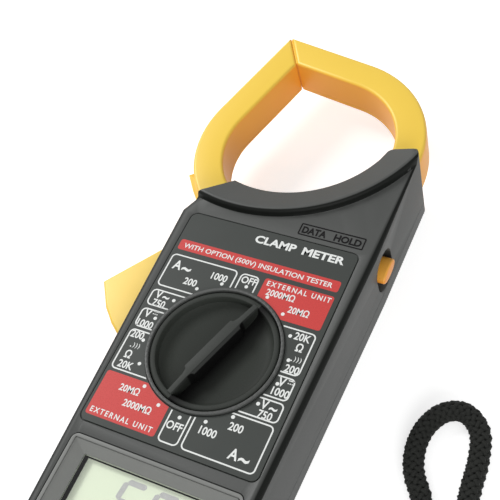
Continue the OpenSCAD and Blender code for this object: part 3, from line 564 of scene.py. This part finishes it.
# The bezel's upright walls get black plastic as painted shade.
softened("display_bezel", "display_surround", bezel_plastic, hair=0.25, steps=3,
         edge=black_plastic, dark=lambda at, normal: abs(normal.z) < 0.15)

# %% [markdown]
# ## The jaws
# Both jaws are yellow mouldings in two halves. Their front edges are rounded by more than a
# millimetre or more, so that a cable slides past. The hub round the pivot stays crisp, because its bore
# would be eaten by so wide a round.

# %% Jaws
JAW_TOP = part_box("fixed_jaw_front")[1].z / MM
JAW_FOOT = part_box("fixed_jaw_back")[0].z / MM
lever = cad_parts["jaw_lever_front"]
lever_levels = sorted({round(v.co.z / MM, 2) for v in lever.data.vertices})
print("levels of the lever in mm:", lever_levels[-6:])

def near_pivot(p):
    return (Vector((p.x, p.y)) - PIVOT).length < 6.5

softened("fixed_jaw_front", "jaw_right", jaw_plastic, hair=0.25,
         rounds=[(high_rim(JAW_TOP), 1.3, 5)], steps=3)
softened("fixed_jaw_back", "jaw_right_back", jaw_plastic, hair=0.2,
         rounds=[(low_rim(JAW_FOOT, lambda p: p.y < 83), 1.0, 4)])
TRIGGER_TOP = max(z for z in lever_levels if z < JAW_TOP - 3.5)
softened("jaw_lever_front", "jaw_left", jaw_plastic, "jaw_lever", hair=0.25, steps=3,
         rounds=[(high_rim(JAW_TOP, near_pivot), 1.3, 5), (high_rim(TRIGGER_TOP, near_pivot), 1.1, 4)])
softened("jaw_lever_back", "jaw_left_back", jaw_plastic, "jaw_lever", hair=0.2,
         rounds=[(low_rim(JAW_FOOT, near_pivot), 1.0, 4)])

# %% Lip of the fixed jaw
TIP_FROM_Y = 118

def jaw_lip():
    """A thin raised land on the fixed jaw's end, set in from its edges, that closes the seam."""
    points = [v.co for v in lever.data.vertices if v.co.y / MM > TIP_FROM_Y]
    inner = max(points, key=lambda p: p.x).to_2d() / MM
    outer = max(points, key=lambda p: p.y).to_2d() / MM
    along = (outer - inner).normalized()
    aside = Vector((along.y, -along.x))
    ends = (inner + along * 0.9, outer - along * 0.9)
    outline = [ends[0] + aside * 0.04, ends[0] + aside * 0.7, ends[1] + aside * 0.7, ends[1] + aside * 0.04]
    bm = bmesh.new()
    prism(bm, outline, JAW_FOOT + 0.9, JAW_TOP - 0.9)
    return finished(bm, "jaw_right_lip", jaw_plastic, "meter")

# %% [markdown]
# ## The dial
# The knob is one moulding: a rim, a dished floor and a grip bar across it. Spinning a profile
# about the axis gives the rim and the dish. The bar is a ten-sided outline pulled up, with its
# top drawn in a little and its edges rounded.

# %% Dial
DIAL_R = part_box("rotary_knob")[1].x / MM
rim_z, dish_z, under_z = FACE + 0.5, FACE - 3.2, FACE - 3.75
grip_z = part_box("rotary_knob")[1].z / MM

def spun(bm, profile, steps=128):
    """A ring or disc whose profile, in mm, turns once about the Z axis."""
    verts = [bm.verts.new((r * MM, 0, z * MM)) for r, z in profile]
    edges = [bm.edges.new(pair) for pair in zip(verts, verts[1:])]
    bmesh.ops.spin(bm, geom=verts + edges, cent=(0, 0, 0), axis=(0, 0, 1), dvec=(0, 0, 0),
                   angle=2 * math.pi, steps=steps, use_merge=True, use_duplicate=False)
    bmesh.ops.remove_doubles(bm, verts=bm.verts, dist=1e-6)

def prism(bm, outline, z0, z1):
    """An upright prism on an outline in mm. Its top corners come back."""
    base = bm.faces.new([bm.verts.new((x * MM, y * MM, z0 * MM)) for x, y in outline])
    top = bmesh.ops.extrude_face_region(bm, geom=[base])["geom"]
    verts = [g for g in top if isinstance(g, bmesh.types.BMVert)]
    bmesh.ops.translate(bm, verts=verts, vec=(0, 0, (z1 - z0) * MM))
    return verts

def finished(bm, name, finish, body, sharp=32):
    """A piece made from this bmesh, with its finish, on its body and in its material slot."""
    bmesh.ops.recalc_face_normals(bm, faces=bm.faces)
    mesh = bpy.data.meshes.new(name)
    bm.to_mesh(mesh)
    bm.free()
    piece = bpy.data.objects.new(name, mesh)
    scene.collection.objects.link(piece)
    mesh.materials.append(finish)
    mesh.shade_smooth()
    mesh.set_sharp_from_angle(angle=math.radians(sharp))
    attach(piece, body)
    print(name, len(mesh.polygons), "faces")
    return piece

def make_knob():
    bm = bmesh.new()
    spun(bm, [(0, dish_z), (6, dish_z), (13, dish_z), (16.2, dish_z + 0.15), (17.8, dish_z + 0.6),
              (18.7, dish_z + 1.4), (19.1, rim_z - 0.4), (19.35, rim_z - 0.08), (19.6, rim_z), (20.5, rim_z),
              (20.8, rim_z - 0.1), (DIAL_R, rim_z - 0.4),
              (DIAL_R, under_z + 0.3), (DIAL_R - 0.3, under_z), (0, under_z)])
    side = [(0.85, 19.6), (0.95, 12.6), (1.25, 11.2), (1.5, 10.7), (2.35, 10.3)]
    right = side + [(x, -y) for x, y in reversed(side)]
    top = prism(bm, right + [(-x, y) for x, y in reversed(right)], dish_z - 0.3, grip_z)
    for v in top:
        v.co.z -= 0.6 * MM * max(0.0, abs(v.co.y) / MM - 10.7) / 8.9
    up = {e for v in top for e in v.link_edges if all(w in top for w in e.verts)}
    bmesh.ops.bevel(bm, geom=list(up), offset=0.16 * MM, segments=2, affect="EDGES", profile=0.5, material=-1)
    bmesh.ops.rotate(bm, verts=bm.verts, cent=(0, 0, 0), matrix=Matrix.Rotation(DIAL_TURN, 3, "Z"))
    return finished(bm, "dial_knob", dial_plastic, "dial")

knob = make_knob()
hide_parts("rotary_knob")

# %% [markdown]
# ## The hold button
# The button is a slim ellipse of orange plastic on a black oval foot, in a recess of the side
# wall. The foot and its flange keep the button from falling out, and the ellipse is pressed by a
# finger. It is a little smaller than its recess, so that it clears the wall when it is pressed.

# %% Hold button
KEY_MID = (key_low + key_high) / 2

def sideways(bm, outline, x0, x1, rim=0.0):
    """A prism that points along X, on an outline of y, z pairs in mm about the button's middle."""
    base = bm.faces.new([bm.verts.new(Vector((x0, KEY_MID.y + y, KEY_MID.z + z)) * MM) for y, z in outline])
    top = bmesh.ops.extrude_face_region(bm, geom=[base])["geom"]
    bmesh.ops.translate(bm, verts=[g for g in top if isinstance(g, bmesh.types.BMVert)],
                        vec=((x1 - x0) * MM, 0, 0))
    if rim:
        edges = {e for g in top if isinstance(g, bmesh.types.BMFace) for e in g.edges}
        bmesh.ops.bevel(bm, geom=list(edges), offset=rim * MM, segments=6, affect="EDGES", profile=0.5,
                        material=-1)

def ellipse(high, wide, steps=40):
    turn = [2 * math.pi * i / steps for i in range(steps)]
    return [(high * math.cos(a), wide * math.sin(a)) for a in turn]

def oval(high, wide):
    flat = high - wide
    turn = [math.pi * i / 12 for i in range(13)]
    return ([(flat + wide * math.sin(a), wide * math.cos(a)) for a in turn]
            + [(-flat - wide * math.sin(a), -wide * math.cos(a)) for a in turn])

def hold_pieces():
    half_y, half_z = (key_high.y - key_low.y) / 2, (key_high.z - key_low.z) / 2
    wall_gap = 0.9
    bm = bmesh.new()
    sideways(bm, oval(half_y, half_z), key_low.x, key_low.x + 1.55)
    sideways(bm, oval(half_y - 1.1, half_z - 1.1), key_low.x + 1.5, key_low.x + 2.8)
    finished(bm, "hold_foot", black_plastic, "hold")
    bm = bmesh.new()
    sideways(bm, ellipse(half_y - wall_gap, 2.6), key_low.x + 2.6, key_high.x - 1.2, 0.7)
    key = finished(bm, "hold_key", button_plastic, "hold", sharp=50)
    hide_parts("hold_button")

hold_pieces()

# %% [markdown]
# ## Parts that keep their CAD shape
# Screws, sockets, boards and the other inner parts are already right. Each gets its finish by
# filling the material slot of its own mesh.

# %% Finishes on CAD parts
keeps = {
    "display_lens": clear_window, "display_glass": display, "display_frame": white_plastic,
    "contact_strips": rubber_strip, "fixed_core": core_steel, "moving_core": core_steel,
    "coil_bobbin": white_plastic, "coil_winding": copper_wire, "jaw_pivot_pin": steel, "jaw_spring": steel,
    "lever_screws": steel, "jaw_screws": steel, "switch_rotor": white_plastic, "rotor_wipers": brass,
    "detent_balls": steel, "detent_springs": steel, "rotor_screw": steel, "main_board": board,
    "switch_tracks": brass, "meter_chip": chip_epoxy, "resistors": component, "capacitors": component,
    "trimmer": component, "buzzer": black_plastic, "board_screws": steel, "hold_switch": black_plastic,
    "hold_plunger": white_plastic, "input_sockets": brass, "battery": battery_skin,
    "battery_terminals": steel, "battery_snap": black_plastic, "battery_leads": wire_skin,
    "coil_leads": wire_skin, "case_screws": steel, "door_screw": steel, "strap_anchor": black_plastic}
for node, finish in keeps.items():
    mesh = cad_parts[node].data
    mesh.materials.clear()
    mesh.materials.append(finish)
print(len(keeps), "CAD parts finished")
softened("socket_collars", "socket_rings", black_plastic, hair=0.3, steps=3)
softened("socket_collar_red", "socket_ring_red", red_plastic, hair=0.3, steps=3)

# %% [markdown]
# ## The printed label
# The print is real geometry, a few hundredths of a millimetre proud of the film, so that it
# survives in the mesh. Lettering starts as a text curve and becomes a mesh. Frames are rounded outlines with
# an inset, and one cylinder then cuts away whatever reaches under the dial.

# %% Print helpers
R_DOTS = 24.5
PRINT_Z = FACE + 0.015
CUT_R = DIAL_R + 2.1

def lettering(bm, words, x, y, height, width=1.0, bold=0.0, z=PRINT_Z, fit=None, spread=1.0):
    """Words centred on x, y in mm, with capitals of this height. fit is a total width to fill."""
    curve = bpy.data.curves.new("words", "FONT")
    curve.body = words
    curve.size = 1.0
    curve.offset = bold
    curve.resolution_u = 3
    curve.space_character = spread
    curve.fill_mode = "FRONT"
    maker = bpy.data.objects.new("words", curve)
    scene.collection.objects.link(maker)
    bpy.context.view_layer.update()
    mesh = bpy.data.meshes.new_from_object(maker.evaluated_get(bpy.context.evaluated_depsgraph_get()))
    bpy.data.objects.remove(maker)
    xs = [v.co.x for v in mesh.vertices]
    grow = height / 0.73
    stretch = grow * width if fit is None else fit / (max(xs) - min(xs))
    shift = Vector((-(max(xs) + min(xs)) / 2 * stretch + x, -0.365 * grow + y, z))
    change = Matrix.Translation(shift * MM) @ Matrix.Diagonal((stretch * MM, grow * MM, 1, 1))
    mesh.transform(change)
    bm.from_mesh(mesh)
    bpy.data.meshes.remove(mesh)

def round_outline(x0, y0, x1, y1, r, steps=5):
    out = []
    corners = ((x1 - r, y0 + r, -90), (x1 - r, y1 - r, 0), (x0 + r, y1 - r, 90), (x0 + r, y0 + r, 180))
    for cx, cy, a0 in corners:
        for i in range(steps + 1):
            a = math.radians(a0 + 90 * i / steps)
            out.append((cx + r * math.cos(a), cy + r * math.sin(a)))
    return out

def outline_frame(bm, box, r=1.7, line=0.48, z=PRINT_Z, thick=0.03):
    """A thin rounded frame: two outlines, one inside the other, joined into a flat ring."""
    x0, y0, x1, y1 = (v * R_DOTS for v in box)
    outlines = (round_outline(x0, y0, x1, y1, r),
                round_outline(x0 + line, y0 + line, x1 - line, y1 - line, r - line))
    loops = [[bm.verts.new((x * MM, y * MM, h * MM)) for x, y in outline]
             for h in (z - thick, z) for outline in outlines]
    for a, b in ((0, 1), (1, 3), (3, 2), (2, 0)):
        for i in range(len(loops[a])):
            j = (i + 1) % len(loops[a])
            bm.faces.new((loops[a][i], loops[a][j], loops[b][j], loops[b][i]))

def cut_by_dial(piece, radius=CUT_R):
    """Takes away what lies inside the dial's ring."""
    bm = bmesh.new()
    bmesh.ops.create_cone(bm, cap_ends=True, segments=128, radius1=radius * MM, radius2=radius * MM,
                          depth=4 * MM, matrix=Matrix.Translation((0, 0, FACE * MM)))
    mesh = bpy.data.meshes.new("cutter")
    bm.to_mesh(mesh)
    bm.free()
    cutter = bpy.data.objects.new("cutter", mesh)
    scene.collection.objects.link(cutter)
    cut = piece.modifiers.new("cut", "BOOLEAN")
    cut.operation, cut.solver, cut.object = "DIFFERENCE", "EXACT", cutter
    bpy.context.view_layer.update()
    done = bpy.data.meshes.new_from_object(piece.evaluated_get(bpy.context.evaluated_depsgraph_get()))
    piece.modifiers.clear()
    print(piece.name, "cut from", len(piece.data.polygons), "to", len(done.polygons), "faces")
    piece.data = done
    bpy.data.objects.remove(cutter)

jaw_lip()

# %% [markdown]
# The outlines on the label are laid out as shares of the dot ring's radius, so the whole print
# grows with that radius. Each group of marks is one piece in one ink.

# %% White print
def label_frames(bm):
    for box in ((-1.23, 0.66, -0.20, 1.20), (-0.15, 0.80, 0.13, 1.19), (-1.23, 0.34, -0.62, 0.60),
                (-1.23, -0.01, -0.70, 0.29), (-1.23, -0.67, -0.60, -0.05), (0.66, -0.01, 1.20, 0.62),
                (0.70, -0.37, 1.20, -0.05), (0.62, -0.68, 1.20, -0.40), (0.18, -1.37, 1.20, -0.71),
                (-0.15, -1.37, 0.14, -0.80)):
        outline_frame(bm, box)

def frames_piece():
    bm = bmesh.new()
    label_frames(bm)
    piece = finished(bm, "label_frames", white_ink, "meter")
    cut_by_dial(piece)
    return piece

frames_piece()

def marks_piece():
    bm = bmesh.new()
    for i in range(18):
        a = math.radians(90 - 20 * i)
        at = Matrix.Translation((R_DOTS * math.cos(a) * MM, R_DOTS * math.sin(a) * MM, PRINT_Z * MM))
        bmesh.ops.create_circle(bm, cap_ends=True, segments=20, radius=0.62 * MM, matrix=at)
    small = 2.65
    words = [("OFF", 0, 1.10, small), ("OFF", -0.01, -1.12, small), ("200", -0.78, 0.84, small),
             ("1000", -0.42, 1.03, small), ("A", -1.08, 1.04, 3.6), ("~", -0.93, 1.03, 5.0),
             ("V", -1.11, 0.53, 3.0), ("~", -0.995, 0.525, 3.6), ("750", -1.05, 0.40, small),
             ("V", -1.12, 0.22, 3.0), ("1000", -1.08, 0.06, small), ("200", -1.10, -0.12, small),
             ("Ω", -1.08, -0.42, 2.8), ("20K", -1.04, -0.57, small), ("20K", 1.03, 0.53, small),
             ("Ω", 1.05, 0.38, 2.8), ("200", 1.08, 0.07, small), ("V", 1.03, -0.13, 3.0),
             ("1000", 1.07, -0.27, small), ("V", 0.95, -0.48, 3.0), ("~", 1.075, -0.49, 3.8),
             ("750", 1.01, -0.61, small), ("200", 0.74, -0.88, small), ("1000", 0.43, -1.05, small),
             ("A", 0.86, -1.20, 3.6), ("~", 1.01, -1.21, 5.0)]
    for text, x, y, height in words:
        lettering(bm, text, x * R_DOTS, y * R_DOTS, height, 0.88, 0.022)
    for x, y in ((-1.01, 0.235), (1.145, -0.12)):
        for dy, parts in ((0.028, 1), (-0.012, 3)):
            for k in range(parts):
                w = 2.0 / parts - (0.25 if parts > 1 else 0)
                x0 = x * R_DOTS - 1.0 + k * 2.0 / parts
                y0 = (y + dy) * R_DOTS
                face = [(x0, y0), (x0 + w, y0), (x0 + w, y0 + 0.34), (x0, y0 + 0.34)]
                bm.faces.new([bm.verts.new((a * MM, b * MM, PRINT_Z * MM)) for a, b in face])
    for x, y in ((-1.05, -0.27), (1.08, 0.22)):
        for k in range(4):
            text = "." if k == 0 else ")"
            lettering(bm, text, x * R_DOTS - 1.5 + k * 0.95, y * R_DOTS + (0 if k else 0.1),
                      1.5 if k else 2.4, 1.0, 0.012)
    for text, x, wide in (("CLAMP", 0.10, 15), ("METER", 0.81, 15)):
        lettering(bm, text, x * R_DOTS, 1.76 * R_DOTS, 2.9, 1, 0.035, fit=wide)
    return finished(bm, "label_marks", white_ink, "meter")

marks_piece()

# %% Red print
def red_piece():
    bm = bmesh.new()
    for box in ((-1.22, 1.28, 1.20, 1.45), (0.60, 1.19, 0.75, 1.30), (0.20, 0.68, 1.20, 1.21),
                (-1.23, -1.35, -0.20, -0.71)):
        x0, y0, x1, y1 = (v * R_DOTS for v in box)
        prism(bm, round_outline(x0, y0, x1, y1, 0.9 if x1 - x0 > 10 else 0.2), FACE - 0.03, FACE + 0.008)
    piece = finished(bm, "label_red", red_ink, "meter")
    cut_by_dial(piece, CUT_R - 0.2)
    return piece

red_piece()

def red_words():
    bm = bmesh.new()
    top = FACE + 0.03
    for text, x, y, height in (("EXTERNAL UNIT", 0.71, 1.145, 1.9), ("2000MΩ", 0.50, 1.02, 2.4),
                               ("20MΩ", 0.83, 0.86, 2.4), ("20MΩ", -0.81, -0.87, 2.4),
                               ("2000MΩ", -0.60, -1.05, 2.4), ("EXTERNAL UNIT", -0.72, -1.27, 1.9)):
        wide = 22.5 if text.startswith("EXTERNAL") else None
        lettering(bm, text, x * R_DOTS, y * R_DOTS, height, 0.88, 0.02, top, wide, 1.35 if wide else 1.0)
    lettering(bm, "WITH OPTION (500V) INSULATION TESTER", -0.02 * R_DOTS, 1.365 * R_DOTS, 1.9, 1, 0.014, top,
              fit=55)
    return finished(bm, "label_red_words", white_ink, "meter")

red_words()

# %% [markdown]
# ## Raised lettering and the display
# DATA HOLD stands a tenth of a millimetre proud of the casing, as a frame and letters painted black as
# the shade of the raised lettering. The digits of the display are slanted bars, which rise a little from
# the display's surface, and a black border lies on the window over them as painted shadow.

# %% Raised words
def raised_words():
    bm = bmesh.new()
    for text, x, wide in (("DATA", 0.54, 8.6), ("HOLD", 1.03, 9.6)):
        lettering(bm, text, x * R_DOTS, 2.085 * R_DOTS, 2.6, 1, 0.03, FACE, wide)
    up = bmesh.ops.extrude_face_region(bm, geom=list(bm.faces))["geom"]
    bmesh.ops.translate(bm, verts=[g for g in up if isinstance(g, bmesh.types.BMVert)], vec=(0, 0, 0.1 * MM))
    outline_frame(bm, (0.32, 1.99, 1.27, 2.18), 0.5, 0.42, FACE + 0.1, 0.15)
    # The raised words are painted black as their shade.
    return finished(bm, "case_words", painted_shade_black, "meter")

raised_words()

# %% Digits
GLASS_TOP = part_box("display_glass")[1].z / MM
SEGMENTS = {"0": "abcdef", "5": "acdfg", "2": "abged"}

def digit(bm, figure, cx, cy, high=12.4, wide=7.0, thick=1.8, slope=0.1):
    h, w, t = high / 2, wide / 2, thick / 2
    bars = {"a": (-w, h, w, h), "g": (-w, 0, w, 0), "d": (-w, -h, w, -h), "f": (-w, h, -w, 0),
            "e": (-w, 0, -w, -h), "b": (w, h, w, 0), "c": (w, 0, w, -h)}
    for name in SEGMENTS[figure]:
        x0, y0, x1, y1 = bars[name]
        flat = y0 == y1
        if flat:
            shape = [(x0 + t * 0.2, y0), (x0 + t * 0.9, y0 + t), (x1 - t * 0.9, y0 + t), (x1 - t * 0.2, y0),
                     (x1 - t * 0.9, y0 - t), (x0 + t * 0.9, y0 - t)]
        else:
            shape = [(x0, y0 - t * 0.2), (x0 + t, y0 - t * 0.9), (x0 + t, y1 + t * 0.9), (x0, y1 + t * 0.2),
                     (x0 - t, y1 + t * 0.9), (x0 - t, y0 - t * 0.9)]
        prism(bm, [(cx + x + y * slope, cy + y) for x, y in shape], GLASS_TOP - 0.02, GLASS_TOP + 0.05)

def digits_piece():
    bm = bmesh.new()
    top = -1.93 * R_DOTS
    for figure, x in (("5", -0.19 * R_DOTS), ("0", 0.26 * R_DOTS), ("2", 0.71 * R_DOTS)):
        digit(bm, figure, x, top - 6.2)
    dot = Vector((12.4, top - 12.4, GLASS_TOP + 0.05)) * MM
    bmesh.ops.create_circle(bm, cap_ends=True, segments=16, radius=0.7 * MM, matrix=Matrix.Translation(dot))
    return finished(bm, "display_digits", segment_ink, "meter")

digits_piece()

def display_shadow_border():
    """A black border on the window as painted shadow, wider at its left and right."""
    low, high = (Vector(corner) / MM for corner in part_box("display_lens"))
    under_x, under_y, wide, narrow = 2.25, 1.85, 1.5, 0.5
    x0, y0, x1, y1 = low.x + under_x, low.y + under_y, high.x - under_x, high.y - under_y
    bm = bmesh.new()
    for box in ((x0, y0, x0 + wide, y1), (x1 - wide, y0, x1, y1),
                (x0 + wide, y1 - narrow, x1 - wide, y1), (x0 + wide, y0, x1 - wide, y0 + narrow)):
        prism(bm, round_outline(*box, 0.1, 1), high.z - 0.05, high.z + 0.04)
    return finished(bm, "display_shadow_border", painted_shade_black, "meter")

display_shadow_border()

# %% [markdown]
# ## Socket marks
# Each socket has a short generic word by it, printed on the casing.

# %% Socket words
def socket_words():
    bm = bmesh.new()
    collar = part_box("socket_collars")
    pitch, row = abs(collar[0].x + 5.2 * MM) / MM, -80.5
    for text, x in (("EXT", -pitch), ("COM", 0), ("VΩ", pitch)):
        lettering(bm, text, x, row - 8.1, 1.9, 0.95, 0.016, FACE + 0.02)
    return finished(bm, "socket_words", white_ink, "meter")

socket_words()

# %% [markdown]
# ## Floor and light
# The floor is pale and plain. It looks white to the camera, and to what mirrors it, because of a
# little glow that only those rays see, so its soft shadow stays and no extra light reaches the
# meter. One broad lamp stands up on the left and one weaker one on the right.

# %% Floor
def floor_finish():
    material = bpy.data.materials.new("floor")
    material.use_nodes = True
    tree = material.node_tree
    tree.nodes.clear()
    flow = Flow(tree)
    paths = [flow.make("ShaderNodeLightPath", out=i) for i in (0, 3)]
    seen = flow.sum("MAXIMUM", paths[0], paths[1])
    matt = flow.make("ShaderNodeBsdfDiffuse", None, {"Color": (0.86, 0.86, 0.86, 1)})
    glow = flow.make("ShaderNodeEmission", None, {"Color": (1, 1, 1, 1), "Strength": seen * 0.6})
    both = flow.make("ShaderNodeAddShader", None, {0: matt, 1: glow})
    out = tree.nodes.new("ShaderNodeOutputMaterial")
    tree.links.new(both.socket, out.inputs["Surface"])
    return material

bm = bmesh.new()
bmesh.ops.create_grid(bm, x_segments=1, y_segments=1, size=4.0)
floor_mesh = bpy.data.meshes.new("floor")
bm.to_mesh(floor_mesh)
bm.free()
floor_mesh.materials.append(floor_finish())
floor_mesh.transform(Matrix.Translation((0, 0, -0.3 * MM)))
floor = bpy.data.objects.new("floor", floor_mesh)
scene.collection.objects.link(floor)

# %% World and lamps
def sky():
    world = bpy.data.worlds.new("studio")
    scene.world = world
    world.use_nodes = True
    tree = world.node_tree
    tree.nodes.clear()
    flow = Flow(tree)
    paths = [flow.make("ShaderNodeLightPath", out=i) for i in (0, 3, 6)]
    seen = flow.sum("MAXIMUM", flow.sum("MAXIMUM", paths[0], paths[1]), paths[2])
    strength = seen * 0.6 + 0.4
    glow = flow.make("ShaderNodeBackground", None, {"Color": (1, 1, 1, 1), "Strength": strength})
    out = tree.nodes.new("ShaderNodeOutputWorld")
    tree.links.new(glow.socket, out.inputs["Surface"])

sky()

def lamp(name, at, aim, size, power):
    data = bpy.data.lights.new(name, "AREA")
    data.shape, data.size, data.energy = "DISK", size, power
    made = bpy.data.objects.new(name, data)
    made.location = at
    made.rotation_euler = (Vector(aim) - Vector(at)).to_track_quat("-Z", "Y").to_euler()
    scene.collection.objects.link(made)

lamp("key", (-0.85, 0.30, 0.72), (0, 0.02, 0.02), 0.45, 8.0)
lamp("fill", (0.55, -0.75, 0.48), (0, 0.02, 0.02), 0.6, 5.0)
scene.view_settings.view_transform = "Standard"
